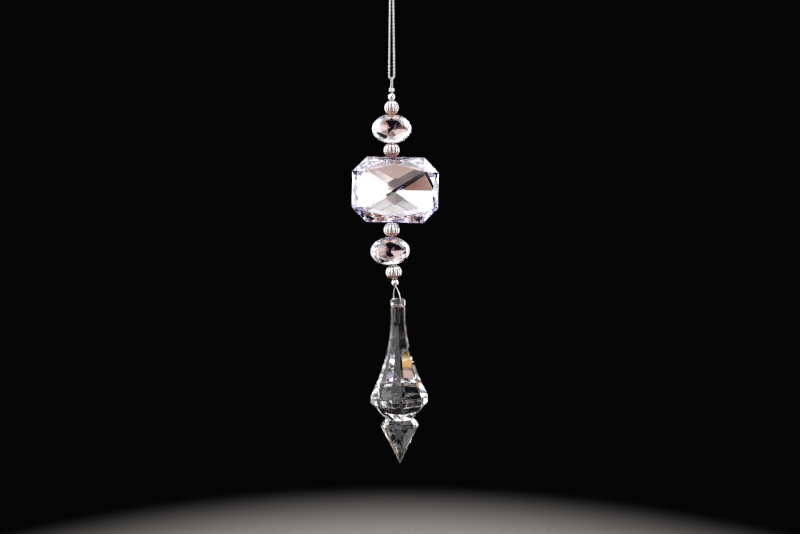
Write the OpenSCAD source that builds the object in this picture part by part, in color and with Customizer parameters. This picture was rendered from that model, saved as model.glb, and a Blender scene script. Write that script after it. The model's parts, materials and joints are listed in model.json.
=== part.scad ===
// Icicle hanging ornament.
// Clear faceted beads and silver melon beads are threaded on one stiff wire. The wire ends
// in a small eye at the top, which hangs in a soft cord, and in a loop at the bottom,
// which carries a long clear drop shaped like an icicle.
// Millimetres, +Z up. The origin is the point of the cord loop that bears on a hook, and
// everything hangs below it. The broad faces of the gems look along -Y and +Y.

/* [Cord] */
// Thickness of the metallic cord
cord_d = 0.95; // [0.8:0.05:1]
// Height of the hanging loop, from the hook to the knot
hang_loop_h = 22; // [16:1:40]
// Width of the hanging loop, between cord centres
hang_loop_w = 9; // [7:0.5:14]
// Thickness of the knot
knot_d = 4.2; // [3.6:0.2:5]
// Length of the paired strands, from the knot to the wire eye
strand_len = 48; // [30:1:120]
// Distance between the strands where they turn round the wire eye
strand_spacing = 2.2; // [2.1:0.05:2.8]

/* [Wire] */
// Thickness of the stem wire
wire_d = 0.46; // [0.4:0.02:0.48]
// Distance from the crimp to the place where the eye bears on the cord
eye_drop = 4.8; // [4.4:0.1:7]
// Width of the eye, between wire centres
eye_w = 2.0; // [1.9:0.1:2.2]
// Turn of the eye away from the front-to-back plane
eye_turn = 20; // [0:1:22]
// Distance from the lowest bead to the part of the loop that carries the drop
loop_drop = 7.8; // [7.4:0.1:10]
// Turn of the bottom loop, and of the hole it passes through, away from the front-to-back plane
loop_turn = 22; // [10:1:30]
// Height of the crimp bead
crimp_h = 1.6; // [1.2:0.1:2.2]
// Slack on the wire between the crimp and the first bead
bead_slack = 0.7; // [0.4:0.1:1.5]

/* [Beads] */
// Thickness of the two small round beads
small_bead_d = 3.5; // [3:0.1:4]
// Thickness of the melon bead at the top
melon_top_d = 6.6; // [6:0.1:8]
// Thickness of the other three melon beads
melon_d = 7.4; // [6:0.1:8.5]
// Height of the melon beads
melon_h = 6.3; // [5.5:0.1:7]
// Number of flutes round a melon bead
flutes = 14; // [10:1:16]
// Hole through every bead and gem
bead_bore = 1.2; // [1.1:0.05:1.4]

/* [Gems] */
// Width of the oval gems
oval_w = 18; // [16:0.5:20]
// Height of the oval gems
oval_h = 12.9; // [11:0.1:14]
// Thickness of the oval gems
oval_t = 8.6; // [7.5:0.1:10]
// Width of the octagon gem
octagon_w = 39.4; // [36:0.2:44]
// Height of the octagon gem
octagon_h = 29.8; // [27:0.2:33]
// Thickness of the octagon gem
octagon_t = 14; // [12:0.5:16]
// Length cut off each corner of the octagon gem
octagon_chamfer = 6.7; // [5.5:0.1:7.5]
// Distance of the octagon gem's centre from its hole
octagon_offset = 1.6; // [0:0.1:2]
// Distance of the lower oval gem's centre from its hole
oval_offset = -1.0; // [-1.5:0.1:0]

/* [Drop] */
// Length of the icicle drop
drop_len = 76.2; // [70:0.2:84]
// Thickness of the drop's collar and neck
neck_d = 6.6; // [6.4:0.1:6.8]
// Thickness of the drop across its widest corners
girdle_d = 26.2; // [22:0.2:30]
// Thickness of the waist above the drop's spear point
waist_d = 12.4; // [10:0.2:14]
// Thickness of the spear point across its corners
spear_d = 17.4; // [16:0.2:19]
// Hole through the drop's collar
drop_hole_d = 1.6; // [1.5:0.05:1.8]
// Turn of the drop's facets away from the front
facet_turn = 5; // [0:1:22]
// Lean of the drop at rest
drop_lean = 1; // [0:0.5:2]

/* [Hidden] */

// Gaps that keep neighbouring pieces apart
bead_gap = 0.06;
kink_gap = 0.14;
cord_gap = 0.03;
eye_gap = 0.03;
hole_gap = 0.08;
crimp_gap = 0.02;

// Levels on the cord and the wire
knot_z = -hang_loop_h - knot_d / 2;
eye_z = knot_z - knot_d / 2 - strand_len;
crimp_top_z = eye_z - eye_drop;
crimp_bottom_z = crimp_top_z - crimp_h;
first_bead_z = crimp_bottom_z - bead_slack;

// Depth of the bottom loop at which it has come level
loop_level_z = loop_drop - 0.9;

// Lean of the wire: the upper beads hang plumb, the lower oval gem leans a little and
// the beads below it lean more. Positive leans carry the lower end towards +X.
gem_lean = 2.6;
tail_lean = 7;

// Places on the wire, counted from the top
small_top = 0;
melon_top = 1;
oval_upper = 2;
melon_upper = 3;
octagon = 4;
melon_middle = 5;
oval_lower = 6;
melon_lower = 7;
small_bottom = 8;

// Height along the wire that each piece takes up. The octagon gem hangs a little tilted, so
// it takes up slightly more than its own height.
octagon_tilt = 1.2;
octagon_tilt_room = 0.15;
octagon_seat_h = octagon_h + octagon_tilt_room;
small_bead_h = sqrt(pow(small_bead_d, 2) - pow(bead_bore, 2));
bead_heights = [small_bead_h, melon_h, oval_h, melon_h, octagon_seat_h, melon_h,
                oval_h, melon_h, small_bead_h];
bead_leans = [0, 0, 0, 0, 0, 0, gem_lean, tail_lean, tail_lean];

// Wires side by side: half their spacing in the crimp and in the lowest bead
crimp_half = 0.34;
pair_half = 0.26;

tube_sides = 10;
cord_sides = 12;

// ---------- Functions ----------

function unit(v) = v / norm(v);
function mix(a, b, t) = a + (b - a) * t;
function cubic(a, b, c, d, t) =
    pow(1 - t, 3) * a + 3 * pow(1 - t, 2) * t * b + 3 * (1 - t) * t * t * c + pow(t, 3) * d;
function backwards(list) = [for (i = [len(list) - 1:-1:0]) list[i]];

// Direction of the wire below the bead at place i
function down(i) = [sin(bead_leans[i]), 0, -cos(bead_leans[i])];
// Gap under the bead at place i, wider where the wire bends
function gap_under(i) = bead_leans[i] == bead_leans[i + 1] ? bead_gap : kink_gap;
// Top of the bead at place i, measured along the leaning wire
function bead_top(i) =
    i == 0 ? [0, 0, first_bead_z]
           : bead_top(i - 1) + down(i - 1) * (bead_heights[i - 1] + gap_under(i - 1));
function bead_centre(i) = bead_top(i) + down(i) * bead_heights[i] / 2;

// Heading of a path at its point i, and a side direction square to that heading
function heading(path, i) = unit(path[min(i + 1, len(path) - 1)] - path[max(i - 1, 0)]);
function square_to(side, forward) = unit(side - (side * forward) * forward);
function sides_along(path, first) =
    [for (i = 0, s = square_to(first, heading(path, 0)); i < len(path);
          i = i + 1, s = i < len(path) ? square_to(s, heading(path, i)) : s) s];

// One ring of points round each point of a path
function tube_rings(path, r, count, first) =
    let (sides = sides_along(path, first))
    [for (i = [0:len(path) - 1])
        let (s = sides[i], t = cross(heading(path, i), s))
        [for (k = [0:count - 1])
            path[i] + r * (cos(360 * k / count) * s + sin(360 * k / count) * t)]];

// A point at distance u from the wire and height z, on a plane turned from front to back
function on_plane(u, z, turn) = [u * sin(turn), -u * cos(turn), z];

// ---------- Shared shapes ----------

// Solid skinned over a list of rings that all have the same number of points. The points of
// a ring run anticlockwise when seen from the next ring.
module skin(rings) {
    n = len(rings[0]);
    last = len(rings) - 1;
    walls = [for (j = [0:last - 1], k = [0:n - 1])
                 let (a = j * n + k, b = j * n + (k + 1) % n)
                 each [[a, a + n, b], [b, a + n, b + n]]];
    start_cap = [for (k = [0:n - 1]) k];
    end_cap = [for (k = [n - 1:-1:0]) last * n + k];
    polyhedron([for (ring = rings) each ring], concat(walls, [start_cap, end_cap]));
}

module tube(path, d, count, first = [1, 0, 0])
    skin(tube_rings(path, d / 2, count, first));

// Convex solid round a list of points
module facets(points)
    hull() polyhedron(points, [[for (i = [0:len(points) - 1]) i]]);

// Puts a child on the wire at place i, with its own hole along the wire
module on_wire(i)
    translate(bead_centre(i)) rotate([0, -bead_leans[i], 0]) children();

module bore(h) cylinder(d = bead_bore, h = h + 2, center = true, $fn = 48);

module round_bead()
    difference() {
        sphere(d = small_bead_d, $fn = 64);
        bore(small_bead_d);
    }

// Melon bead: rounded lobes with sharp valleys between them that run from pole to pole
module melon_bead(d) {
    steps = 8;
    points_per_lobe = 4;
    valley_depth = 0.09;
    pole_angle = 72;
    count = flutes * points_per_lobe;
    rings = [for (j = [0:steps])
        let (a = mix(-pole_angle, pole_angle, j / steps), r = d / 2 * pow(cos(a), 0.85))
        [for (k = [0:count - 1])
            let (turn = 360 * k / count,
                 lobe = 1 - valley_depth * (1 - abs(cos(turn * flutes / 2))))
            [r * lobe * cos(turn), r * lobe * sin(turn),
             melon_h / 2 * sin(a) / sin(pole_angle)]]];
    difference() {
        skin(rings);
        bore(melon_h);
    }
}

// Points on the front of a gem (side -1), on its back (side 1) or on both. Each entry is
// [x, z, depth].
function on_face(entries, side) = [for (e = entries) [e[0], side * e[2], e[1]]];
function both_faces(entries) = concat(on_face(entries, -1), on_face(entries, 1));

// Oval gem: a low six-sided pyramid on each face, ringed by small facets. The corners of
// the back pyramid stand between those of the front one.
module oval_gem() {
    rx = oval_w / 2;
    rz = oval_h / 2;
    edge_t = 1.0;
    girdle = [for (k = [0:23]) [rx * cos(15 * k), rz * sin(15 * k), edge_t]];
    ring = [for (k = [0:11])
        [rx * 0.84 * cos(30 * k + 15), rz * 0.84 * sin(30 * k + 15), oval_t * 0.315]];
    function hexagon(start) = [for (k = [0:5])
        let (a = 60 * k + start)
        [rx * 0.655 * cos(a), rz * 0.68 * sin(a), oval_t * 0.44]];
    apex = [[0, 0, oval_t / 2]];
    facets(concat(both_faces(concat(girdle, ring, apex)),
                  on_face(hexagon(30), -1), on_face(hexagon(0), 1)));
}

// Octagon gem: four broad kites meet at the middle of each face, with a three-sided facet
// at each corner and pairs of facets along each side. The back kites are creased down their
// middles.
module octagon_gem_body() {
    x = octagon_w / 2;
    z = octagon_h / 2;
    edge_t = 1.3;
    corner_x = x - octagon_chamfer;
    corner_z = z - octagon_chamfer;
    crown_x = corner_x * 0.975;
    crown_z = corner_z * 0.98;
    crown_t = octagon_t * 0.385;
    fall = octagon_t / 2 - crown_t;
    side_x = x - 2.7;
    side_z = z - 3.7;
    outline = [for (sx = [-1, 1], sz = [-1, 1])
        each [[sx * corner_x, sz * z, edge_t], [sx * x, sz * corner_z, edge_t]]];
    crown = [for (sx = [-1, 1], sz = [-1, 1]) [sx * crown_x, sz * crown_z, crown_t]];
    back_crease = 0.5;
    function middles(crease) = [for (s = [-1, 1])
        each [[s * side_x, 0, octagon_t / 2 - fall * side_x / crown_x + crease],
              [0, s * side_z, octagon_t / 2 - fall * side_z / crown_z + crease]]];
    facets(concat(both_faces(concat(outline, crown, [[0, 0, octagon_t / 2]])),
                  on_face(middles(0), -1), on_face(middles(back_crease), 1)));
}

// ---------- Cord ----------

module hanging_loop() {
    r = hang_loop_w / 2;
    top_z = cord_d / 2 - r;
    foot_x = cord_d / 2 + cord_gap / 2;
    foot_z = -hang_loop_h + cord_gap;
    steps = 10;
    side = [for (i = [0:steps])
        cubic([foot_x, 0, foot_z], [foot_x + 0.4, 0, mix(foot_z, top_z, 0.35)],
              [r, 0, mix(foot_z, top_z, 0.6)], [r, 0, top_z], i / steps)];
    arc = [for (a = [15:15:165]) [r * cos(a), 0, top_z + r * sin(a)]];
    other_side = [for (p = backwards(side)) [-p.x, 0, p.z]];
    color("silver") tube(concat(side, arc, other_side), cord_d, cord_sides);
}

// The knot is drawn as a ball with the two trimmed cord ends
module cord_knot() {
    tail_len = 2.2;
    color("silver")
    translate([0, 0, knot_z])
    union() {
        sphere(d = knot_d, $fn = 48);
        for (side = [0, 180])
            rotate([0, 0, side]) rotate([115, 0, 0])
                cylinder(d = cord_d, h = knot_d / 2 + tail_len, $fn = 24);
    }
}

module cord_strands() {
    r = strand_spacing / 2;
    top_x = cord_d / 2 + cord_gap / 2;
    top_z = knot_z - knot_d / 2 - cord_gap;
    bend_z = eye_z - cord_d / 2 + r;
    steps = 6;
    side = [for (i = [0:steps])
        cubic([top_x, 0, top_z], [mix(top_x, r, 0.4), 0, mix(top_z, bend_z, 0.35)],
              [r, 0, mix(top_z, bend_z, 0.75)], [r, 0, bend_z], i / steps)];
    bend = [for (a = [-15:-15:-165]) [r * cos(a), 0, bend_z + r * sin(a)]];
    other_side = [for (p = backwards(side)) [-p.x, 0, p.z]];
    color("silver") tube(concat(side, bend, other_side), cord_d, cord_sides);
}

// ---------- Wire ----------

// Half of the top eye, from the crimp to where its round top begins. Each point is given as
// [distance from the wire, height], and the plane turns from side to side at the crimp.
function eye_side(sign) =
    let (r = eye_w / 2, rise = eye_drop + wire_d / 2 + eye_gap - r, steps = 6)
    [for (i = [0:steps])
        let (t = i / steps,
             p = cubic([crimp_half, 0], [crimp_half + 0.2, rise * 0.3],
                       [r, rise * 0.6], [r, rise], t))
        on_plane(sign * p[0], crimp_top_z + p[1], mix(90, eye_turn, min(1, 2 * t)))];

function eye_top() =
    let (r = eye_w / 2, centre_z = eye_z + wire_d / 2 + eye_gap - r)
    [for (a = [162:-18:18]) on_plane(r * cos(a), centre_z + r * sin(a), eye_turn)];

// Half of the bottom loop, measured down from the lowest bead. It leaves the bead, swells
// round the drop's collar and turns into the hole.
function loop_side(sign) =
    let (collar_room = 0.6, half = neck_d / 2 + collar_room,
         bend_r = 0.7, bend_z = bend_r - loop_drop, steps = 10,
         start = [pair_half, -0.2], shoulder = [2.9, -1.8], swell = [5.0, -0.63 * loop_drop],
         side = [for (i = [0:steps])
             cubic(start, shoulder, swell, [half, bend_z], i / steps)],
         bend = [for (a = [30:30:90])
             [half - bend_r + bend_r * cos(a), bend_z - bend_r * sin(a)]])
    [for (p = concat(side, bend)) on_plane(sign * p[0], p[1], loop_turn)];

// Places loop points under the lowest bead. They start square to the leaning wire and come
// level at the bottom, where the wire runs straight through the drop's hole.
loop_start = bead_top(small_bottom) + down(small_bottom) * small_bead_h;
function tilt_at(z) = sin(tail_lean) * min(1, max(0, 1 + z / loop_level_z));
function under_beads(points) =
    let (c = cos(tail_lean), s = sin(tail_lean))
    [for (p = points) loop_start + [p.x * c - p.z * s, p.y, p.x * tilt_at(p.z) + p.z * c]];

function wire_path() =
    let (bead_half = small_bead_h / 2)
    concat(
        [[-crimp_half, 0, crimp_bottom_z - 0.2]],
        eye_side(-1), eye_top(), backwards(eye_side(1)),
        [[crimp_half, 0, crimp_bottom_z]],
        [[0, 0, first_bead_z - bead_half]],
        [for (i = [oval_lower:small_bottom]) bead_top(i)],
        under_beads([on_plane(pair_half, bead_half, loop_turn)]),
        under_beads(loop_side(1)),
        under_beads(backwards(loop_side(-1))),
        under_beads([on_plane(-pair_half, bead_half, loop_turn)]));

module stem_wire()
    color("gainsboro") tube(wire_path(), wire_d, tube_sides);

// Crushed tube with one lobe round each of the two wires
module crimp_bead() {
    lobe_r = 0.62;
    lobe_x = 0.58;
    color("silver")
    translate([0, 0, crimp_bottom_z])
    linear_extrude(crimp_h)
    difference() {
        for (side = [-1, 1]) translate([side * lobe_x, 0]) circle(r = lobe_r, $fn = 48);
        for (side = [-1, 1])
            translate([side * crimp_half, 0]) circle(r = wire_d / 2 + crimp_gap, $fn = 32);
    }
}

// ---------- Beads and gems, from top to bottom ----------

module small_bead_top() color("silver") on_wire(small_top) round_bead();

module melon_bead_top() color("lightgray") on_wire(melon_top) melon_bead(melon_top_d);

module oval_gem_upper()
    color("lavender") on_wire(oval_upper) difference() { oval_gem(); bore(oval_h); }

module melon_bead_upper() color("lightgray") on_wire(melon_upper) melon_bead(melon_d);

module octagon_gem()
    color("white") on_wire(octagon)
    difference() {
        translate([octagon_offset, 0, 0]) rotate([0, octagon_tilt, 0]) octagon_gem_body();
        bore(octagon_h);
    }

module melon_bead_middle() color("lightgray") on_wire(melon_middle) melon_bead(melon_d);

module oval_gem_lower()
    color("lavender") on_wire(oval_lower)
    difference() {
        translate([oval_offset, 0, 0]) oval_gem();
        bore(oval_h);
    }

module melon_bead_lower() color("lightgray") on_wire(melon_lower) melon_bead(melon_d);

module small_bead_bottom() color("silver") on_wire(small_bottom) round_bead();

// ---------- Drop ----------

// Place where the wire carries the drop, and the hole's height below the collar's top
hang_point = under_beads([[0, 0, -loop_drop]])[0];
drop_hole_z = -2.6;
wire_to_hole = drop_hole_d / 2 - wire_d / 2 - hole_gap;

function octagon_ring(z, r) = [for (k = [0:7]) [r * cos(45 * k), r * sin(45 * k), z]];

// The drop's facets: a straight neck that flares to the girdle, an undercut to the waist
// and a spear point. Heights run down from the top of the collar, so the list is reversed.
module drop_body() {
    neck_top = 4.0;
    flare_top = 8.7;
    girdle_top = drop_len * 0.587;
    girdle_bottom = drop_len * 0.634;
    waist = drop_len * 0.73;
    shoulder_h = 1.6;
    shoulder_d = mix(waist_d, spear_d, 0.72);
    spear_top_h = 3.4;
    tip_h = 0.35;
    tip_r = 0.45;
    point_r = 0.15;
    steps = 12;
    flare_power = 1.9;
    flare = [for (i = [0:steps])
        let (t = i / steps)
        [mix(flare_top, girdle_top, t), mix(neck_d, girdle_d, pow(t, flare_power)) / 2]];
    outline = concat(
        [[neck_top, neck_d / 2]], flare,
        [[girdle_bottom, girdle_d / 2], [waist, waist_d / 2],
         [waist + shoulder_h, shoulder_d / 2], [waist + spear_top_h, spear_d / 2],
         [drop_len - tip_h, tip_r], [drop_len, point_r]]);
    skin(backwards([for (p = outline) octagon_ring(-p[0], p[1])]));
}

// Round collar with a softened top and a shallow groove where it meets the neck
module drop_collar() {
    r = neck_d / 2;
    collar_h = 3.6;
    round_r = 1.2;
    groove_r = r - 0.35;
    groove_reach = 1;
    rotate_extrude($fn = 64)
    union() {
        translate([0, -collar_h - groove_reach]) square([groove_r, 2 * groove_reach]);
        translate([0, -collar_h]) square([r, collar_h - round_r]);
        translate([0, -round_r]) square([r - round_r, round_r]);
        intersection() {
            translate([r - round_r, -round_r]) circle(r = round_r, $fn = 48);
            translate([r - round_r, -round_r]) square([round_r, round_r]);
        }
    }
}

module icicle_drop()
    color("aliceblue")
    translate(hang_point)
    rotate([0, -drop_lean, loop_turn])
    translate([0, 0, -wire_to_hole - drop_hole_z])
    difference() {
        rotate([0, 0, facet_turn - loop_turn - 90]) union() {
            drop_body();
            drop_collar();
        }
        translate([0, 0, drop_hole_z]) rotate([90, 0, 0])
            cylinder(d = drop_hole_d, h = neck_d + 2, center = true, $fn = 48);
    }

hanging_loop();
cord_knot();
cord_strands();
stem_wire();
crimp_bead();
small_bead_top();
melon_bead_top();
oval_gem_upper();
melon_bead_upper();
octagon_gem();
melon_bead_middle();
oval_gem_lower();
melon_bead_lower();
small_bead_bottom();
icicle_drop();
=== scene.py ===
import json
from math import asin, cos, pi, radians, sin

import bmesh
import bpy
from mathutils import Matrix, Vector


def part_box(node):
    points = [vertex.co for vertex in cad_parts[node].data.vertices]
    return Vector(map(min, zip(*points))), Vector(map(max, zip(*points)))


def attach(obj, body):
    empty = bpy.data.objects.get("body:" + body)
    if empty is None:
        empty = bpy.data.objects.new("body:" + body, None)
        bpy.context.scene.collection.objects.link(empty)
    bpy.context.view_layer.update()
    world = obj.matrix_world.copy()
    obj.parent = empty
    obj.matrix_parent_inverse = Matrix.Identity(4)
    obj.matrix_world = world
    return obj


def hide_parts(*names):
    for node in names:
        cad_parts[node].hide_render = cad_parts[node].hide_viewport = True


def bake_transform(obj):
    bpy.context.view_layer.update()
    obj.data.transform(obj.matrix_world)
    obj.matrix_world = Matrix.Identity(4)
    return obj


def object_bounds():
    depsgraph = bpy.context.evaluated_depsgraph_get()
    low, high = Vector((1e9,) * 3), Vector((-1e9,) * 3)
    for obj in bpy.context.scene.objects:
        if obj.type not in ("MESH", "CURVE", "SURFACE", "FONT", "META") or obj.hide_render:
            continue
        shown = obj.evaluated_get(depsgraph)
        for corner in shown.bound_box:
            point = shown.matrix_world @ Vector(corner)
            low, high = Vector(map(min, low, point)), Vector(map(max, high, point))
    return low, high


# Icicle hanging ornament: the looks of every piece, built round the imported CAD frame.
# Metres, +Z up. A length given in millimetres is multiplied by MM.

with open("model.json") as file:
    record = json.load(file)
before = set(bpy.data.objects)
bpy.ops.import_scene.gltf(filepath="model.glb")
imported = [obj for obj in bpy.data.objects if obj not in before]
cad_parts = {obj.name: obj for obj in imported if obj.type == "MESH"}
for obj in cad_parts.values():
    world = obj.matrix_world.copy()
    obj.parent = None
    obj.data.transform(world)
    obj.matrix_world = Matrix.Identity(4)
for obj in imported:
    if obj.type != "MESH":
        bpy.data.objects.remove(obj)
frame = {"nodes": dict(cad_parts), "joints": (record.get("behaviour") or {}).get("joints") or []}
cad_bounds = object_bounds()

MM = 0.001
NODES = frame["nodes"]
JOINTS = {joint["name"]: joint for joint in frame["joints"]}
SPIN_OF = {joint["child"]: joint for joint in frame["joints"] if joint.get("continuous")}


# ---------- Measuring the frame ----------

def node_points(node):
    return [v.co.copy() for v in NODES[node].data.vertices]


def joint_place(joint):
    return Vector(joint["pos_m"]), Vector(joint["axis"]).normalized()


def bead_measure(node):
    """Centre, axis, height and greatest radius of a bead, measured square to the wire it is on."""
    base, axis = joint_place(SPIN_OF[node])
    points = node_points(node)
    heights = [(p - base).dot(axis) for p in points]
    low, high = min(heights), max(heights)
    radius = max(((p - base) - axis * h).length for p, h in zip(points, heights))
    return base + axis * (low + high) / 2, axis, high - low, radius


def placing(centre, axis):
    """Matrix that takes a piece built round +Z, with its front to -Y, to its place."""
    up = axis.normalized()
    right = Vector((0, 1, 0)).cross(up).normalized()
    back = up.cross(right).normalized()
    turn = Matrix((right, back, up)).transposed().to_4x4()
    return Matrix.Translation(centre) @ turn


# ---------- Building meshes ----------

class Shape:
    """Vertices, faces and texture places of one piece, gathered from one or more skins."""

    def __init__(self):
        self.points, self.faces, self.places = [], [], []

    def skin(self, rings, closed=False, lengths=None):
        """Joins rings of equal size. u runs round a ring and v along the rings. A closed skin
        joins its last ring to its first, and an open one has a cap at each end."""
        count, first = len(rings[0]), len(self.points)
        lengths = lengths or [float(i) for i in range(len(rings))]
        for ring in rings:
            self.points.extend(ring)
        last = len(rings) if closed else len(rings) - 1
        for j in range(last):
            a, b = first + j * count, first + (j + 1) % len(rings) * count
            for k in range(count):
                m = (k + 1) % count
                self.faces.append((a + k, a + m, b + m, b + k))
                u0, u1 = k / count, (k + 1) / count
                v0, v1 = lengths[j], lengths[(j + 1) % len(rings)]
                self.places.append(((u0, v0), (u1, v0), (u1, v1), (u0, v1)))
        if not closed:
            for start, ring_first in ((True, first), (False, first + (len(rings) - 1) * count)):
                order = range(count - 1, -1, -1) if start else range(count)
                self.faces.append(tuple(ring_first + k for k in order))
                self.places.append(tuple((0.0, 0.0) for _ in range(count)))

    def mesh(self, name, matrix=Matrix()):
        data = bpy.data.meshes.new(name)
        data.from_pydata([tuple(matrix @ Vector(p)) for p in self.points], [], self.faces)
        layer = data.uv_layers.new(name="UVMap")
        corners = [corner for face in self.places for corner in face]
        for loop, corner in zip(layer.data, corners):
            loop.uv = corner
        return data


def mark_sharp(data, angle):
    """Smooth shading, with the edges that turn more than angle kept crisp."""
    shape = bmesh.new()
    shape.from_mesh(data)
    bmesh.ops.recalc_face_normals(shape, faces=shape.faces)
    for face in shape.faces:
        face.smooth = True
    for edge in shape.edges:
        edge.smooth = len(edge.link_faces) != 2 or edge.calc_face_angle() < radians(angle)
    shape.to_mesh(data)
    shape.free()


def add_piece(name, data, material, sharp_angle=35):
    mark_sharp(data, sharp_angle)
    data.materials.append(material)
    piece = bpy.data.objects.new(name, data)
    bpy.context.collection.objects.link(piece)
    return piece


def directions(path):
    """Heading and side at each point of a path. The side turns as little as it can."""
    last = len(path) - 1
    headings = [(path[min(i + 1, last)] - path[max(i - 1, 0)]).normalized() for i in range(last + 1)]
    side = Vector((1, 0, 0)) if abs(headings[0].x) < 0.9 else Vector((0, 1, 0))
    sides = []
    for heading in headings:
        side = (side - heading * side.dot(heading)).normalized()
        sides.append(side)
    return headings, sides


def distances(path):
    total, result = 0.0, [0.0]
    for a, b in zip(path, path[1:]):
        total += (b - a).length
        result.append(total)
    return result


def resampled(path, step):
    """Points every step along a path of straight pieces."""
    along = distances(path)
    count = max(2, round(along[-1] / step))
    result, place = [], 0
    for i in range(count + 1):
        goal = along[-1] * i / count
        while place < len(path) - 2 and along[place + 1] < goal:
            place += 1
        part = (goal - along[place]) / (along[place + 1] - along[place])
        result.append(path[place].lerp(path[place + 1], min(1.0, part)))
    return result


def add_tube(shape, path, radius, sides):
    headings, crossways = directions(path)
    rings = []
    for point, heading, side in zip(path, headings, crossways):
        up = heading.cross(side)
        rings.append([point + (side * cos(2 * pi * k / sides) + up * sin(2 * pi * k / sides)) * radius
                      for k in range(sides)])
    shape.skin(rings, lengths=distances(path))


def bezier(a, b, c, d, steps):
    result = []
    for i in range(steps + 1):
        t = i / steps
        result.append(a * (1 - t) ** 3 + b * 3 * t * (1 - t) ** 2 + c * 3 * t * t * (1 - t) + d * t ** 3)
    return result


def arc(centre, radius, start, end, steps):
    """Points on an upright arc that faces -Y. Angles run from +X towards +Z, in degrees."""
    result = []
    for i in range(steps + 1):
        a = radians(start + (end - start) * i / steps)
        result.append(centre + Vector((cos(a), 0, sin(a))) * radius)
    return result


# ---------- Material helpers ----------

def new_material(name):
    material = bpy.data.materials.new(name)
    material.use_nodes = True
    tree = material.node_tree
    return material, tree, tree.nodes["Principled BSDF"]


def math_node(tree, operation, a, b=None):
    """A Math node whose inputs are numbers or sockets; returns its output."""
    node = tree.nodes.new("ShaderNodeMath")
    node.operation = operation
    for socket, value in zip(node.inputs, (a, b)):
        if value is None:
            continue
        if isinstance(value, (int, float)):
            socket.default_value = value
        else:
            tree.links.new(value, socket)
    return node.outputs[0]


def noise_value(tree, scale, detail=2.0, stretch=(1, 1, 1)):
    """Fractal noise in the piece's own space. scale counts features per metre."""
    place = tree.nodes.new("ShaderNodeTexCoord")
    spread = tree.nodes.new("ShaderNodeMapping")
    spread.inputs["Scale"].default_value = stretch
    tree.links.new(place.outputs["Object"], spread.inputs["Vector"])
    noise = tree.nodes.new("ShaderNodeTexNoise")
    noise.inputs["Scale"].default_value = scale
    noise.inputs["Detail"].default_value = detail
    tree.links.new(spread.outputs["Vector"], noise.inputs["Vector"])
    return noise.outputs["Fac"]


def spread_to(tree, value, low, high, start=0.3, end=0.7):
    """Maps a 0 to 1 value to the range low to high."""
    node = tree.nodes.new("ShaderNodeMapRange")
    node.inputs["From Min"].default_value = start
    node.inputs["From Max"].default_value = end
    node.inputs["To Min"].default_value = low
    node.inputs["To Max"].default_value = high
    tree.links.new(value, node.inputs["Value"])
    return node.outputs["Result"]


def colour_between(tree, value, first, second):
    node = tree.nodes.new("ShaderNodeMix")
    node.data_type = "RGBA"
    node.inputs[6].default_value = (*first, 1)
    node.inputs[7].default_value = (*second, 1)
    tree.links.new(value, node.inputs[0])
    return node.outputs[2]


def add_bump(tree, shader, height, distance):
    bump = tree.nodes.new("ShaderNodeBump")
    bump.inputs["Strength"].default_value = 1.0
    bump.inputs["Distance"].default_value = distance
    tree.links.new(height, bump.inputs["Height"])
    tree.links.new(bump.outputs["Normal"], shader.inputs["Normal"])
    return bump


def mixed_shader(tree, share, first, second):
    """A blend of two shader outputs. A share of 0 gives the first and 1 the second."""
    mix = tree.nodes.new("ShaderNodeMixShader")
    tree.links.new(share, mix.inputs[0])
    tree.links.new(first, mix.inputs[1])
    tree.links.new(second, mix.inputs[2])
    return mix.outputs[0]


def stored_value(tree, name):
    """The value that a mesh stores under a name."""
    node = tree.nodes.new("ShaderNodeAttribute")
    node.attribute_name = name
    return node.outputs["Fac"]


def show(tree, surface):
    tree.links.new(surface, tree.nodes["Material Output"].inputs["Surface"])


# ---------- Materials ----------

ACRYLIC_IOR = 1.49
# Tint of a painted warm reflection on the melon beads' undersides
PAINTED_REFLECTION_COPPER = (1.0, 0.64, 0.50)

# Radius of the floor, and the share of it at which it starts to fade into the dark backdrop, a painted
# falloff of light
FLOOR_R, FLOOR_FADE = 0.62, 0.35

# Share of light that a gem's coat throws back: at the back facets from inside and from
# outside, and at the front facets
COAT_INSIDE, COAT_OUTSIDE, COAT_FRONT = 0.86, 0.45, 0.20


def drop_acrylic():
    """Clear moulded acrylic: faint waviness and a few soft handling marks. It reflects less than
    acrylic does and is slightly grey, which keeps its inside dark."""
    material, tree, shader = new_material("clear_acrylic_drop")
    shader.inputs["Transmission Weight"].default_value = 1.0
    shader.inputs["IOR"].default_value = ACRYLIC_IOR
    shader.inputs["Specular IOR Level"].default_value = 0.28
    waves = noise_value(tree, 160, 1.0)
    haze = noise_value(tree, 900, 3.0)
    tint = colour_between(tree, spread_to(tree, waves, 0.0, 1.0),
                          (0.87, 0.87, 0.90), (0.90, 0.895, 0.89))
    tree.links.new(tint, shader.inputs["Base Color"])
    tree.links.new(spread_to(tree, haze, 0.0, 0.012, 0.45, 0.8), shader.inputs["Roughness"])
    add_bump(tree, shader, waves, 0.000004)
    return material


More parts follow.
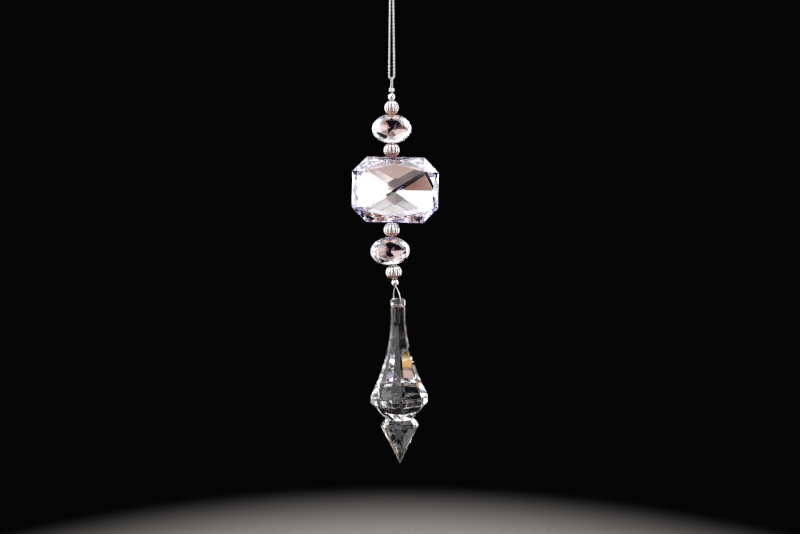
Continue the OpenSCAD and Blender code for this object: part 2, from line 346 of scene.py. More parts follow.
def gem_acrylic(name, warm, cool):
    """Clear acrylic with a reflecting coat on its back facets and a weaker one in front. The
    walls of its hole are left clear."""
    material, tree, shader = new_material(name)
    shader.inputs["Transmission Weight"].default_value = 1.0
    shader.inputs["IOR"].default_value = ACRYLIC_IOR
    waves = noise_value(tree, 120, 1.0)
    haze = noise_value(tree, 700, 3.0)
    tint = colour_between(tree, spread_to(tree, waves, 0.0, 1.0), (1.0, 0.985, 0.98), (0.98, 0.98, 1.0))
    tree.links.new(tint, shader.inputs["Base Color"])
    rough = spread_to(tree, haze, 0.0, 0.03, 0.45, 0.8)
    tree.links.new(rough, shader.inputs["Roughness"])
    bump = add_bump(tree, shader, waves, 0.00003)
    facing = tree.nodes.new("ShaderNodeLayerWeight")
    facing.inputs["Blend"].default_value = 0.5
    coat = tree.nodes.new("ShaderNodeBsdfGlossy")
    slant = spread_to(tree, facing.outputs["Facing"], 0.0, 1.0, 0.02, 0.12)
    tree.links.new(colour_between(tree, slant, warm, cool), coat.inputs["Color"])
    tree.links.new(rough, coat.inputs["Roughness"])
    tree.links.new(bump.outputs["Normal"], coat.inputs["Normal"])
    inside = tree.nodes.new("ShaderNodeNewGeometry").outputs["Backfacing"]
    back_share = spread_to(tree, inside, COAT_OUTSIDE, COAT_INSIDE, 0.0, 1.0)
    front_share = spread_to(tree, inside, COAT_FRONT, 0.0, 0.0, 1.0)
    share = tree.nodes.new("ShaderNodeMix")
    tree.links.new(stored_value(tree, "backed"), share.inputs[0])
    tree.links.new(front_share, share.inputs[2])
    tree.links.new(back_share, share.inputs[3])
    coated = mixed_shader(tree, share.outputs[0], shader.outputs[0], coat.outputs[0])
    clear = tree.nodes.new("ShaderNodeBsdfTransparent")
    show(tree, mixed_shader(tree, stored_value(tree, "bore"), coated, clear.outputs[0]))
    return material


def painted_warm_reflection_below(tree, colour):
    """Multiplies a metal's colour towards copper where the surface looks down in its own space: a painted
    warm reflection from below.
    """
    place = tree.nodes.new("ShaderNodeTexCoord")
    split = tree.nodes.new("ShaderNodeSeparateXYZ")
    tree.links.new(place.outputs["Normal"], split.inputs[0])
    low = spread_to(tree, split.outputs["Z"], 1.0, 0.0, -0.75, -0.15)
    mix = tree.nodes.new("ShaderNodeMix")
    mix.data_type = "RGBA"
    mix.blend_type = "MULTIPLY"
    tree.links.new(low, mix.inputs[0])
    tree.links.new(colour, mix.inputs[6])
    mix.inputs[7].default_value = (*PAINTED_REFLECTION_COPPER, 1)
    return mix.outputs[2]


def polished_silver(name, bright, tarnish_and_shade, rough_low, rough_high, painted_shading=False):
    """Plated metal with fine polishing marks and random tarnish blotches. When asked for, painted shade
    darkens the grooves and a painted warm reflection tints the undersides.
    """
    material, tree, shader = new_material(name)
    shader.inputs["Metallic"].default_value = 1.0
    blotches = noise_value(tree, 450, 3.0)
    marks = noise_value(tree, 5200, 2.0, (1, 1, 0.25))
    amount = spread_to(tree, blotches, 0.0, 0.55, 0.42, 0.75)
    # Painted shade: the deeper a point lies in a flute, the darker its colour.
    if painted_shading:
        painted_groove_shade = math_node(tree, "POWER", stored_value(tree, "groove"), 1.2)
        faint = math_node(tree, "MULTIPLY", amount, 0.5)
        amount = math_node(tree, "MINIMUM", math_node(tree, "ADD", faint, painted_groove_shade), 1.0)
    colour = colour_between(tree, amount, bright, tarnish_and_shade)
    # Painted warm reflection: a copper tint where the surface looks down.
    if painted_shading:
        colour = painted_warm_reflection_below(tree, colour)
    tree.links.new(colour, shader.inputs["Base Color"])
    tree.links.new(spread_to(tree, marks, rough_low, rough_high), shader.inputs["Roughness"])
    add_bump(tree, shader, marks, 0.000006)
    return material


def metallic_thread():
    """Plies of fine silver filaments that run slantwise round each ply, with painted shade darkening the
    creases between the filaments.
    """
    material, tree, shader = new_material("metallic_cord")
    place = tree.nodes.new("ShaderNodeTexCoord")
    split = tree.nodes.new("ShaderNodeSeparateXYZ")
    tree.links.new(place.outputs["UV"], split.inputs[0])
    round_ply = math_node(tree, "MULTIPLY", split.outputs["X"], FILAMENTS)
    along_ply = math_node(tree, "MULTIPLY", split.outputs["Y"], FILAMENT_TURNS_PER_M)
    phase = math_node(tree, "FRACT", math_node(tree, "ADD", round_ply, along_ply))
    ridge = math_node(tree, "SINE", math_node(tree, "MULTIPLY", phase, pi))
    glint = noise_value(tree, 2600, 2.0)
    shader.inputs["Metallic"].default_value = 0.9
    bright = colour_between(tree, spread_to(tree, glint, 0.0, 1.0), (0.88, 0.87, 0.89), (0.99, 0.98, 0.99))
    shaded_filaments = tree.nodes.new("ShaderNodeMix")
    shaded_filaments.data_type = "RGBA"
    shaded_filaments.blend_type = "MULTIPLY"
    shaded_filaments.inputs[0].default_value = 1.0
    tree.links.new(bright, shaded_filaments.inputs[6])
    # Painted shade: darker where the filaments meet, lighter along their middles.
    grey = colour_between(tree, ridge, (0.62, 0.61, 0.63), (1.0, 1.0, 1.0))
    tree.links.new(grey, shaded_filaments.inputs[7])
    tree.links.new(shaded_filaments.outputs[2], shader.inputs["Base Color"])
    tree.links.new(spread_to(tree, glint, 0.24, 0.5), shader.inputs["Roughness"])
    add_bump(tree, shader, ridge, 0.00002)
    return material


def floor_material():
    """Pale matt sweep that fades out towards its rim, a painted pool of light round its middle. The gems
    and the metal do not see it.
    """
    material, tree, shader = new_material("pale_floor")
    grain = noise_value(tree, 40, 4.0)
    tree.links.new(colour_between(tree, grain, (0.40, 0.385, 0.37), (0.45, 0.435, 0.42)),
                   shader.inputs["Base Color"])
    shader.inputs["Roughness"].default_value = 0.8
    place = tree.nodes.new("ShaderNodeTexCoord")
    flat = tree.nodes.new("ShaderNodeVectorMath")
    flat.operation = "MULTIPLY"
    flat.inputs[1].default_value = (1, 1, 0)
    tree.links.new(place.outputs["Object"], flat.inputs[0])
    away = tree.nodes.new("ShaderNodeVectorMath")
    away.operation = "LENGTH"
    tree.links.new(flat.outputs[0], away.inputs[0])
    # Painted falloff of light: away from its middle the floor fades into the dark backdrop.
    painted_light_pool = spread_to(tree, away.outputs["Value"], 1.0, 0.0, FLOOR_FADE * FLOOR_R, FLOOR_R)
    painted_light_pool.node.interpolation_type = "SMOOTHSTEP"
    path = tree.nodes.new("ShaderNodeLightPath")
    seen = math_node(tree, "MULTIPLY", painted_light_pool, path.outputs["Is Camera Ray"])
    clear = tree.nodes.new("ShaderNodeBsdfTransparent")
    show(tree, mixed_shader(tree, seen, clear.outputs[0], shader.outputs[0]))
    return material


# ---------- Cord ----------

CORD_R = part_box("hanging_loop")[1].z / 2
PLY_R = CORD_R * 0.52
PLY_COUNT = 2
PLY_PITCH = 3.16 * MM
PLY_SIDES = 10
CORD_STEP = 0.16 * MM
# Half the gap between two cords that lie side by side
SIDE_GAP = 0.015 * MM
FILAMENTS = 7
FILAMENT_TURNS_PER_M = 1400
KNOT_TURNS = 1.5
KNOT_SMOOTHING = 14


def add_cord(shape, path, start_turn=0.0):
    """Two plies wound round each other along a path."""
    path = resampled(path, CORD_STEP)
    headings, crossways = directions(path)
    along = distances(path)
    for ply in range(PLY_COUNT):
        line = []
        for point, heading, side, length in zip(path, headings, crossways, along):
            turn = 2 * pi * (length / PLY_PITCH + ply / PLY_COUNT + start_turn)
            up = heading.cross(side)
            line.append(point + (side * cos(turn) - up * sin(turn)) * (CORD_R - PLY_R))
        add_tube(shape, line, PLY_R, PLY_SIDES)


def build_hanging_loop(material):
    """Teardrop loop of cord, whose feet end at the knot."""
    low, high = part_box("hanging_loop")
    half = high.x - CORD_R
    crown = Vector((0, 0, high.z - CORD_R - half))
    foot = Vector((CORD_R + SIDE_GAP, 0, low.z))
    rise = crown.z - foot.z
    side = bezier(foot, foot + Vector((0.4 * MM, 0, rise * 0.35)),
                  Vector((half, 0, foot.z + rise * 0.6)), crown + Vector((half, 0, 0)), 24)
    other_side = [Vector((-p.x, p.y, p.z)) for p in reversed(side)]
    shape = Shape()
    add_cord(shape, side[:-1] + arc(crown, half, 0, 180, 24) + other_side[1:])
    piece = add_piece("twisted_hanging_loop", shape.mesh("twisted_hanging_loop"), material)
    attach(piece, "hanger")
    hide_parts("hanging_loop")


def build_strands(material):
    """Two strands that run down from the knot and turn round the wire eye."""
    low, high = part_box("cord_strands")
    half = high.x - CORD_R
    bend = Vector((0, 0, low.z + CORD_R + half))
    top = Vector((CORD_R + SIDE_GAP, 0, high.z))
    drop = bend.z - top.z
    side = bezier(top, Vector((top.x + (half - top.x) * 0.4, 0, top.z + drop * 0.35)),
                  Vector((half, 0, top.z + drop * 0.75)), bend + Vector((half, 0, 0)), 30)
    other_side = [Vector((-p.x, p.y, p.z)) for p in reversed(side)]
    shape = Shape()
    add_cord(shape, side[:-1] + arc(bend, half, 0, -180, 16) + other_side[1:])
    piece = add_piece("twisted_strands", shape.mesh("twisted_strands"), material)
    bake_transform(piece)
    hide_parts("cord_strands")


def knot_strand(side, radius, half_height):
    """One cord through the knot: up the middle, out over the top, down in a coil, and up again."""
    path = [Vector((side * CORD_R, 0, -half_height)), Vector((side * CORD_R, 0, 0))]
    top = half_height * 0.62
    path += [Vector((side * CORD_R, 0, top * 0.4))]
    steps = 48
    start = 0 if side > 0 else pi
    for i in range(steps + 1):
        t = i / steps
        turn = start + 2 * pi * KNOT_TURNS * t
        swell = radius * (0.92 + 0.08 * sin(pi * t))
        path.append(Vector((swell * cos(turn), swell * sin(turn), top - 2 * top * t)))
    path += [Vector((side * CORD_R * 0.9, side * CORD_R * 0.8, 0)),
             Vector((side * CORD_R, 0, half_height))]
    return path


def smoothed(path, rounds, step):
    """A path with its corners rounded by averaging, its ends kept."""
    path = resampled(path, step)
    for _ in range(rounds):
        middle = [(a + b * 2 + c) / 4 for a, b, c in zip(path, path[1:], path[2:])]
        path = [path[0]] + middle + [path[-1]]
    return path


def build_knot(material):
    """Overhand knot in the doubled cord, pulled tight, with its two trimmed ends."""
    centre, _ = joint_place(JOINTS["cord_swing"])
    half_height = (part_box("hanging_loop")[0].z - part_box("cord_strands")[1].z) / 2
    low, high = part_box("cord_knot")
    radius = (high.x - low.x) / 2 - CORD_R
    shape = Shape()
    for side in (-1, 1):
        path = smoothed(knot_strand(side, radius, half_height), KNOT_SMOOTHING, CORD_STEP)
        add_cord(shape, path)
    for side in (-1, 1):
        root = Vector((side * 0.5 * MM, -side * 0.8 * MM, 0.2 * MM))
        tip = Vector((side * 0.3 * MM, -side * (high.y - 0.3 * MM), low.z - centre.z + 0.35 * MM))
        add_cord(shape, bezier(root, root + Vector((0, -side * 1.4 * MM, 0.3 * MM)),
                               tip + Vector((0, side * 1.0 * MM, 0.9 * MM)), tip, 12), 0.3)
    data = shape.mesh("tied_knot", Matrix.Translation(centre))
    piece = add_piece("tied_knot", data, material)
    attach(piece, "knot")
    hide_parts("cord_knot")


# ---------- Metal pieces ----------

def build_wire(material):
    """The CAD wire, with its bends rounded by subdivision."""
    node = NODES["stem_wire"]
    weld = node.modifiers.new("weld", "WELD")
    weld.merge_threshold = 1e-6
    smooth = node.modifiers.new("round_bends", "SUBSURF")
    smooth.levels = smooth.render_levels = 2
    leave_out_of_gems(material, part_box("small_bead_bottom")[0].z)
    set_node_material(node, material)


def leave_out_of_gems(material, lowest):
    """Leaves the part above a level out of what is seen through the gems, where clear acrylic
    would show it."""
    tree = material.node_tree
    place = tree.nodes.new("ShaderNodeTexCoord")
    split = tree.nodes.new("ShaderNodeSeparateXYZ")
    tree.links.new(place.outputs["Object"], split.inputs[0])
    above = math_node(tree, "GREATER_THAN", split.outputs["Z"], lowest)
    path = tree.nodes.new("ShaderNodeLightPath")
    through = math_node(tree, "GREATER_THAN", path.outputs["Transmission Depth"], 0.5)
    left_out = math_node(tree, "MULTIPLY", above, through)
    metal = tree.nodes["Principled BSDF"].outputs[0]
    clear = tree.nodes.new("ShaderNodeBsdfTransparent")
    show(tree, mixed_shader(tree, left_out, metal, clear.outputs[0]))


def build_crimp(material):
    """The CAD crimp, with its pressed edges softened."""
    node = NODES["crimp_bead"]
    weld = node.modifiers.new("weld", "WELD")
    weld.merge_threshold = 1e-6
    soften = node.modifiers.new("pressed_edges", "BEVEL")
    soften.width = 0.22 * MM
    soften.segments = 4
    soften.limit_method = "ANGLE"
    soften.angle_limit = radians(50)
    set_node_material(node, material)


def set_node_material(node, material):
    for slot in node.material_slots:
        slot.material = material
    for polygon in node.data.polygons:
        polygon.use_smooth = True


def turned(outline, sides):
    """Rings round +Z for a list of (radius, height) points."""
    return [[Vector((r * cos(2 * pi * k / sides), r * sin(2 * pi * k / sides), z)) for k in range(sides)]
            for r, z in outline]


def bore_radius():
    """Radius of the hole through the beads, from the vertices nearest the wire."""
    base, axis = joint_place(SPIN_OF["small_bead_top"])
    return min(((p - base) - axis * (p - base).dot(axis)).length
               for p in node_points("small_bead_top"))


def build_round_bead(node, material):
    """Small round bead with a rounded lip at each end of its hole."""
    centre, axis, height, radius = bead_measure(node)
    hole = bore_radius()
    lip = 0.12 * MM
    start = asin((hole + lip) / radius)
    outline = [(hole, -height / 2 + lip * 1.3), (hole + lip * 0.2, -height / 2 + lip * 0.4),
               (hole + lip * 0.6, -height / 2)]
    steps = 28
    for i in range(steps + 1):
        a = start + (pi - 2 * start) * i / steps
        outline.append((radius * sin(a), -radius * cos(a)))
    outline += [(r, -z) for r, z in reversed(outline[:3])]
    shape = Shape()
    shape.skin(turned(outline, 64), closed=True)
    name = node.replace("small_bead", "round_bead")
    piece = add_piece(name, shape.mesh(name, placing(centre, axis)), material, 50)
    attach(piece, node)
    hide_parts(node)


FLUTES = 14
FLUTE_DEPTH = 0.10
# Latitude, in degrees, at which the bead is cut off at each end
MELON_POLE = 72
MELON_POWER = 0.85
POINTS_PER_LOBE = 10
MELON_STEPS = 30


def melon_rings(height, radius, hole):
    """Rings up the outside of a melon bead and back down its hole, and each point's depth in a flute."""
    count = FLUTES * POINTS_PER_LOBE
    rings, depths = [], []
    for j in range(MELON_STEPS + 1):
        a = radians(-MELON_POLE + 2 * MELON_POLE * j / MELON_STEPS)
        r = radius * cos(a) ** MELON_POWER
        z = height / 2 * sin(a) / sin(radians(MELON_POLE))
        ring = []
        for k in range(count):
            turn = 2 * pi * k / count
            valley = (1 - abs(cos(turn * FLUTES / 2))) ** 1.15
            reach = r * (1 - FLUTE_DEPTH * valley)
            ring.append(Vector((reach * cos(turn), reach * sin(turn), z)))
            depths.append(valley)
        rings.append(ring)
    lip = 0.16 * MM
    inner = [(hole + lip, height / 2 - 0.02 * MM), (hole, height / 2 - lip), (hole, lip - height / 2),
             (hole + lip, 0.02 * MM - height / 2)]
    for r, z in inner:
        rings.append([Vector((r * cos(2 * pi * k / count), r * sin(2 * pi * k / count), z))
                      for k in range(count)])
        # The hole's walls count as 0.6 deep, so the painted shade darkens them too.
        depths.extend([0.6] * count)
    return rings, depths


def build_melon_bead(node, material):
    """Melon bead with rounded lobes; the depth of the flutes is kept for the painted shade in its grooves.
    """
    centre, axis, height, radius = bead_measure(node)
    rings, depths = melon_rings(height, radius, bore_radius())
    shape = Shape()
    shape.skin(rings, closed=True)
    name = node.replace("melon_bead", "fluted_bead")
    data = shape.mesh(name, placing(centre, axis))
    groove = data.attributes.new("groove", "FLOAT", "POINT")
    groove.data.foreach_set("value", depths)
    piece = add_piece(name, data, material, 50)
    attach(piece, node)
    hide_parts(node)


# ---------- Gems and drop ----------

GEM_EDGE = 0.10 * MM
EDGE_REACH = 0.12 * MM


def build_gem(node, name, material):
    """A copy of the CAD gem with each facet made one face and its edges barely rounded."""
    shape = bmesh.new()
    shape.from_mesh(NODES[node].data)
    bmesh.ops.remove_doubles(shape, verts=shape.verts, dist=1e-6)
    bmesh.ops.dissolve_limit(shape, angle_limit=radians(0.4), verts=shape.verts, edges=shape.edges)
    base, axis = joint_place(SPIN_OF[node])
    hole = bore_radius() * 1.2

    def in_hole(verts):
        return all(((v.co - base) - axis * (v.co - base).dot(axis)).length < hole for v in verts)

    edges = [e for e in shape.edges if len(e.link_faces) == 2 and not in_hole(e.verts)
             and e.calc_face_angle() > radians(3)]
    bmesh.ops.bevel(shape, geom=edges, offset=GEM_EDGE, segments=2, profile=0.5, affect="EDGES",
                    clamp_overlap=True)
    in_bore = [1.0 if in_hole(face.verts) else 0.0 for face in shape.faces]
    data = bpy.data.meshes.new(name)
    shape.to_mesh(data)
    shape.free()
    data.attributes.new("bore", "FLOAT", "FACE").data.foreach_set("value", in_bore)
    backed = data.attributes.new("backed", "FLOAT", "FACE")
    backed.data.foreach_set("value", [1.0 if face.normal.y > 0.05 else 0.0 for face in data.polygons])
    piece = add_piece(name, data, material, 0.5)
    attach(piece, node)
    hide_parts(node)


# The drop's outline, as shares of its length below the collar's top
GIRDLE_TOP, GIRDLE_BOTTOM, WAIST = 0.587, 0.634, 0.73
# Distance from the waist down to the widest part of the spear
SPEAR_FALL = 3.4 * MM
FLARE_POWER = 1.9
DROP_SIDES = 8
CORNER_R = 0.22 * MM
CORNER_STEPS = 4
# From the front end of the cross hole to the nearest corner
FACET_TURN = radians(17)
DROP_HOLE_R = 0.8 * MM
WIRE_R = 0.23 * MM
# Clearance over the wire in the hole
HOLE_GAP = 0.08 * MM


def drop_place():
    """Matrix from the drop's own frame, with its collar's top at the origin and its hole along Y."""
    points = node_points("icicle_drop")
    top_z, tip_z = max(p.z for p in points), min(p.z for p in points)
    rim = [p for p in points if p.z > top_z - 0.1 * MM]
    end = [p for p in points if p.z < tip_z + 0.05 * MM]
    low_x, high_x = min(p.x for p in rim), max(p.x for p in rim)
    low_y, high_y = min(p.y for p in rim), max(p.y for p in rim)
    top = Vector(((low_x + high_x) / 2, (low_y + high_y) / 2, sum(p.z for p in rim) / len(rim)))
    tip = sum(end, Vector()) / len(end)
    _, hole_axis = joint_place(JOINTS["drop_swing"])
    up = (top - tip).normalized()
    back = (hole_axis - up * hole_axis.dot(up)).normalized()
    right = back.cross(up)
    turn = Matrix((right, back, up)).transposed().to_4x4()
    return Matrix.Translation(top) @ turn, (top - tip).length


def faceted_ring(radius, depth, roundness):
    """Eight-sided ring whose corners are small arcs. Roundness 1 gives a circle."""
    half = pi / DROP_SIDES
    corner_r = min(CORNER_R, radius * 0.5)
    ring = []
    for k in range(DROP_SIDES):
        corner = 2 * pi * k / DROP_SIDES - pi / 2 - FACET_TURN
        middle = Vector((cos(corner), sin(corner), 0)) * (radius - corner_r / cos(half))
        for i in range(CORNER_STEPS + 1):
            turn = corner - half + 2 * half * i / CORNER_STEPS
            faceted = middle + Vector((cos(turn), sin(turn), 0)) * corner_r
            full = Vector((cos(turn), sin(turn), 0)) * radius
            ring.append(faceted.lerp(full, roundness) - Vector((0, 0, depth)))
    return ring


def eased(outline, reach):
    """An outline of (radius, depth, roundness) with a short chamfer in place of each corner."""
    result = [outline[0]]
    for before, corner, after in zip(outline, outline[1:], outline[2:]):
        for end in (before, after):
            length = Vector((end[0] - corner[0], end[1] - corner[1])).length
            part = min(0.45, reach / length)
            result.append(tuple(c + (e - c) * part for c, e in zip(corner, end)))
    return result + [outline[-1]]


def drop_outline(length, neck, girdle, waist, spear):
    """(radius, distance below the collar's top, roundness) down the drop, in metres."""
    lip, collar_end, groove = 1.2 * MM, 3.6 * MM, 0.35 * MM
    collar = [(neck - lip + lip * sin(a), lip - lip * cos(a), 1)
              for a in (pi / 2 * i / 8 for i in range(9))]
    collar += [(neck, collar_end - 0.12 * MM, 1), (neck - 0.12 * MM, collar_end, 1),
               (neck - groove, collar_end + 0.1 * MM, 1), (neck - groove, 4.0 * MM, 1),
               (neck, 4.1 * MM, 0)]
    start, end, steps = 8.7 * MM, GIRDLE_TOP * length, 44
    flare = [(neck + (girdle - neck) * t ** FLARE_POWER, start + (end - start) * t, 0)
             for t in (i / steps for i in range(steps))]
    shoulder_r = waist + (spear - waist) * 0.72
    facets = [flare[-1], (girdle, end, 0), (girdle, GIRDLE_BOTTOM * length, 0),
              (waist, WAIST * length, 0), (shoulder_r, WAIST * length + 1.6 * MM, 0),
              (spear, WAIST * length + SPEAR_FALL, 0), (0.45 * MM, length - 0.35 * MM, 0),
              (0.15 * MM, length, 0)]
    return collar + flare[:-1] + eased(facets, EDGE_REACH)


def drop_radii(place, length):
    """Radii of the drop's corners at its neck, girdle, waist and spear, from the CAD drop.
    Each is the largest within a short reach of its level."""
    inverse = place.inverted()
    local = [inverse @ p for p in node_points("icicle_drop")]

    def radius_at(depth, reach):
        return max(Vector((p.x, p.y)).length for p in local if abs(-p.z - depth) < reach)

    neck = radius_at(2.4 * MM, 1.3 * MM)
    girdle = radius_at(GIRDLE_TOP * length, 1.0 * MM)
    waist = radius_at(WAIST * length, 0.3 * MM)
    spear = radius_at(WAIST * length + SPEAR_FALL, 0.3 * MM)
    return neck, girdle, waist, spear


def cut_hole(piece, place, depth, radius, reach):
    """Cuts the cross hole through the collar, from front to back."""
    bpy.ops.mesh.primitive_cylinder_add(vertices=48, radius=radius, depth=reach * 3)
    cutter = bpy.context.active_object
    cutter.matrix_world = place @ Matrix.Translation((0, 0, -depth)) @ Matrix.Rotation(pi / 2, 4, "X")
    cut = piece.modifiers.new("hole", "BOOLEAN")
    cut.object = cutter
    cut.solver = "EXACT"
    bpy.context.view_layer.update()
    evaluated = piece.evaluated_get(bpy.context.evaluated_depsgraph_get())
    data = bpy.data.meshes.new_from_object(evaluated)
    piece.modifiers.clear()
    piece.data = data
    bpy.data.objects.remove(cutter, do_unlink=True)
    mark_sharp(piece.data, 20)
    flat = piece.modifiers.new("flat_facets", "WEIGHTED_NORMAL")
    flat.keep_sharp = True
    flat.weight = 100


def build_drop(material):
    """The icicle drop: one clear piece, smooth down its flare and crisp across its facets."""
    place, length = drop_place()
    neck, girdle, waist, spear = drop_radii(place, length)
    shape = Shape()
    rings = [faceted_ring(r, depth, roundness) for r, depth, roundness in
             drop_outline(length, neck, girdle, waist, spear)]
    shape.skin(rings)
    piece = add_piece("clear_icicle_drop", shape.mesh("clear_icicle_drop", place), material, 14)
    hole_point, _ = joint_place(JOINTS["drop_swing"])
    depth = -(place.inverted() @ hole_point).z + DROP_HOLE_R - WIRE_R - HOLE_GAP
    cut_hole(piece, place, depth, DROP_HOLE_R, neck)
    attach(piece, "drop")
    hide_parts("icicle_drop")


# ---------- Studio ----------

# Cards of light and colour. They turn with the camera and were set for its main view, where
# the narrow ones colour single facets. Azimuth 0 is the camera's side and 90 its right; angles
# are in degrees.
PANELS = [
    # azimuth, elevation, half width, half height, edge, strength, colour
    (-36, 21, 24, 22.5, 1.0, 1.8, (1.0, 0.98, 0.99)),    # key, upper left
    (-27, -5.6, 10, 2.2, 0.8, 0.55, (0.80, 0.42, 0.30)),  # brown rail under it
    (-60, -18, 12, 14, 4, 1.8, (1.0, 0.98, 0.99)),       # key, lower left
    (31, 2, 13, 22, 3, 1.8, (1.0, 0.96, 0.96)),          # fill, right of the camera
    (12, 29, 5, 6, 2, 1.4, (0.97, 0.95, 0.98)),          # pale cards over the camera
    (-10, 29, 4.5, 6, 2, 1.4, (0.97, 0.95, 0.98)),
    (1, 29, 5, 6, 2, 0.9, (0.85, 0.70, 0.69)),
    (12, -26, 5, 6, 2, 1.2, (1.0, 0.93, 0.92)),          # pale card, low on the right
    (92, 5, 18, 46, 8, 2.7, (1.0, 0.98, 1.0)),           # right rim
    (-104, 5, 20, 46, 8, 2.7, (1.0, 1.0, 1.0)),          # left rim
    (0, 68, 120, 26, 6, 1.6, (1.0, 0.99, 0.98)),         # overhead
    (0, -44, 40, 8, 4, 0.78, (0.95, 0.68, 0.60)),        # beige card under the camera
    (0, -59, 12, 3, 2, 0.9, (0.36, 0.30, 1.0)),          # violet card below that
    (13, -12, 5, 5, 2, 0.60, (0.75, 0.36, 0.24)),        # brown card, lower right
    (-13, -10, 4, 5, 2, 0.95, (0.48, 0.50, 1.0)),        # blue card, lower left
    (0, -84, 180, 11, 5, 0.6, (1.0, 0.58, 0.38)),        # warm bounce from below
    (64, -34, 8, 12, 5, 1.3, (0.62, 0.58, 1.0)),         # lilac card
    (-150, -34, 8, 6, 5, 1.1, (1.0, 0.55, 0.18)),        # amber card
]
AMBIENT = (0.006, 0.006, 0.008)
BACKDROP = (0.0016, 0.0016, 0.0018)


def soft_step(tree, distance, half, edge):
    """1 where distance is under half, falling to 0 over the soft edge."""
    node = tree.nodes.new("ShaderNodeMapRange")
    node.interpolation_type = "SMOOTHSTEP"
    node.inputs["From Min"].default_value = radians(half - edge)
    node.inputs["From Max"].default_value = radians(half + edge)
    node.inputs["To Min"].default_value = 1.0
    node.inputs["To Max"].default_value = 0.0
    tree.links.new(distance, node.inputs["Value"])
    return node.outputs["Result"]


def card_light(tree, azimuth, elevation, card):
    """The light of one card in the direction that azimuth and elevation give."""
    at, height, half_w, half_h, edge, strength, colour = card
    turn = math_node(tree, "SUBTRACT", azimuth, radians(at))
    turn = math_node(tree, "WRAP", turn, pi)
    turn.node.inputs[2].default_value = -pi
    across = math_node(tree, "ABSOLUTE", turn)
    up = math_node(tree, "ABSOLUTE", math_node(tree, "SUBTRACT", elevation, radians(height)))
    amount = math_node(tree, "MULTIPLY", soft_step(tree, across, half_w, edge),
                       soft_step(tree, up, half_h, edge))
    light = tree.nodes.new("ShaderNodeVectorMath")
    light.operation = "SCALE"
    light.inputs[0].default_value = colour
    tree.links.new(math_node(tree, "MULTIPLY", amount, strength), light.inputs["Scale"])
    return light.outputs[0]


def studio_light():
    """A nearly black surround with the cards in it. The camera itself sees only the backdrop."""
    world = bpy.data.worlds.new("studio")
    world.use_nodes = True
    tree = world.node_tree
    tree.nodes.clear()
    place = tree.nodes.new("ShaderNodeTexCoord")
    split = tree.nodes.new("ShaderNodeSeparateXYZ")
    tree.links.new(place.outputs["Camera"], split.inputs[0])
    toward_camera = math_node(tree, "MULTIPLY", split.outputs["Z"], -1)
    azimuth = math_node(tree, "ARCTAN2", split.outputs["X"], toward_camera)
    elevation = math_node(tree, "ARCSINE", split.outputs["Y"])
    total = None
    for card in PANELS:
        add = tree.nodes.new("ShaderNodeVectorMath")
        add.operation = "ADD"
        if total is None:
            add.inputs[0].default_value = AMBIENT
        else:
            tree.links.new(total, add.inputs[0])
        tree.links.new(card_light(tree, azimuth, elevation, card), add.inputs[1])
        total = add.outputs[0]
    lit = tree.nodes.new("ShaderNodeBackground")
    tree.links.new(total, lit.inputs["Color"])
    seen = tree.nodes.new("ShaderNodeBackground")
    seen.inputs["Color"].default_value = (*BACKDROP, 1)
    path = tree.nodes.new("ShaderNodeLightPath")
    surround = mixed_shader(tree, path.outputs["Is Camera Ray"], lit.outputs[0], seen.outputs[0])
    output = tree.nodes.new("ShaderNodeOutputWorld")
    tree.links.new(surround, output.inputs["Surface"])
    bpy.context.scene.world = world


FLOOR_BELOW = 0.2
FLOOR_THICKNESS = 0.005


def build_floor():
    top = cad_bounds[0].z - FLOOR_BELOW
    shape = Shape()
    shape.skin(turned([(FLOOR_R, top - FLOOR_THICKNESS), (FLOOR_R, top)], 96))
    data = shape.mesh("floor")
    mark_sharp(data, 30)
    data.materials.append(floor_material())
    floor = bpy.data.objects.new("floor", data)
    bpy.context.collection.objects.link(floor)


CAMERA_DISTANCE = 0.36
CAMERA_HEIGHT = -0.150
CAMERA_SIDE = 0.0038
CAMERA_PITCH = 1.69
CAMERA_LENS = 35.27


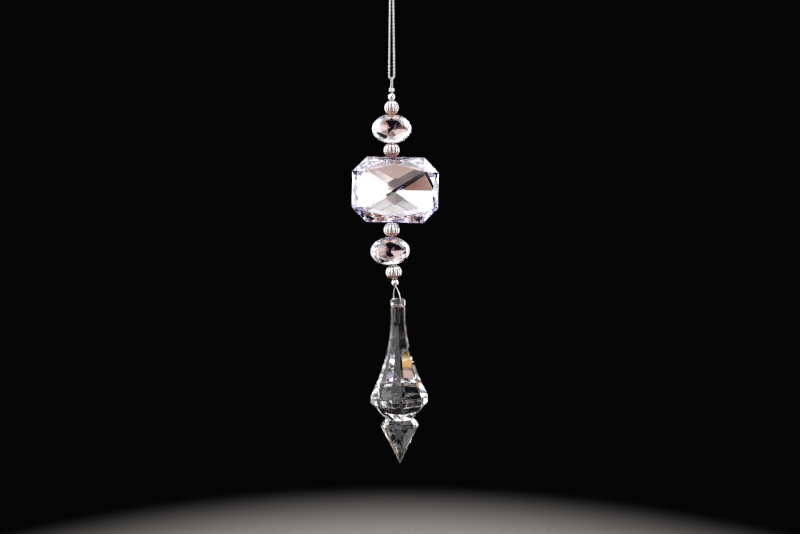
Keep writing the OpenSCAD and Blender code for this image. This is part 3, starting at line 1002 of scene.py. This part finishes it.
def build_camera():
    data = bpy.data.cameras.new("camera")
    data.lens = CAMERA_LENS
    data.clip_start = 0.01
    camera = bpy.data.objects.new("camera", data)
    camera.location = (CAMERA_SIDE, -CAMERA_DISTANCE, CAMERA_HEIGHT)
    camera.rotation_euler = (radians(90 - CAMERA_PITCH), 0, 0)
    bpy.context.collection.objects.link(camera)
    bpy.context.scene.camera = camera


def light_paths():
    """Enough bounces for light to find its way through the gems."""
    scene = bpy.context.scene
    scene.view_settings.view_transform = "Standard"
    scene.cycles.max_bounces = 20
    scene.cycles.transmission_bounces = 20
    scene.cycles.glossy_bounces = 12
    scene.cycles.transparent_max_bounces = 40
    scene.cycles.sample_clamp_indirect = 12


# ---------- The ornament ----------

def build_ornament():
    # Melon silver: its dark colour is painted shade in the grooves as well as random tarnish, and its
    # undersides get a painted warm reflection.
    silver = polished_silver("melon_silver", (1.0, 0.98, 0.97), (0.15, 0.11, 0.10), 0.10, 0.22,
                             painted_shading=True)
    bead_silver = polished_silver("bead_silver", (0.96, 0.94, 0.94), (0.70, 0.66, 0.64), 0.06, 0.16)
    wire_metal = polished_silver("wire_metal", (0.80, 0.76, 0.72), (0.55, 0.49, 0.44), 0.14, 0.28)
    crimp_metal = polished_silver("crimp_metal", (0.95, 0.92, 0.91), (0.66, 0.60, 0.58), 0.12, 0.28)
    thread = metallic_thread()
    build_hanging_loop(thread)
    build_knot(thread)
    build_strands(thread)
    build_wire(wire_metal)
    build_crimp(crimp_metal)
    for node in ("small_bead_top", "small_bead_bottom"):
        build_round_bead(node, bead_silver)
    for node in ("melon_bead_top", "melon_bead_upper", "melon_bead_middle", "melon_bead_lower"):
        build_melon_bead(node, silver)
    oval_clear = gem_acrylic("coated_oval_acrylic", (0.64, 0.49, 0.49), (0.99, 0.985, 1.0))
    octagon_clear = gem_acrylic("coated_octagon_acrylic", (1.0, 0.96, 0.95), (0.88, 0.87, 1.0))
    build_gem("oval_gem_upper", "cut_oval_upper", oval_clear)
    build_gem("oval_gem_lower", "cut_oval_lower", oval_clear)
    build_gem("octagon_gem", "cut_octagon", octagon_clear)
    build_drop(drop_acrylic())


build_ornament()
build_floor()
studio_light()
build_camera()
light_paths()
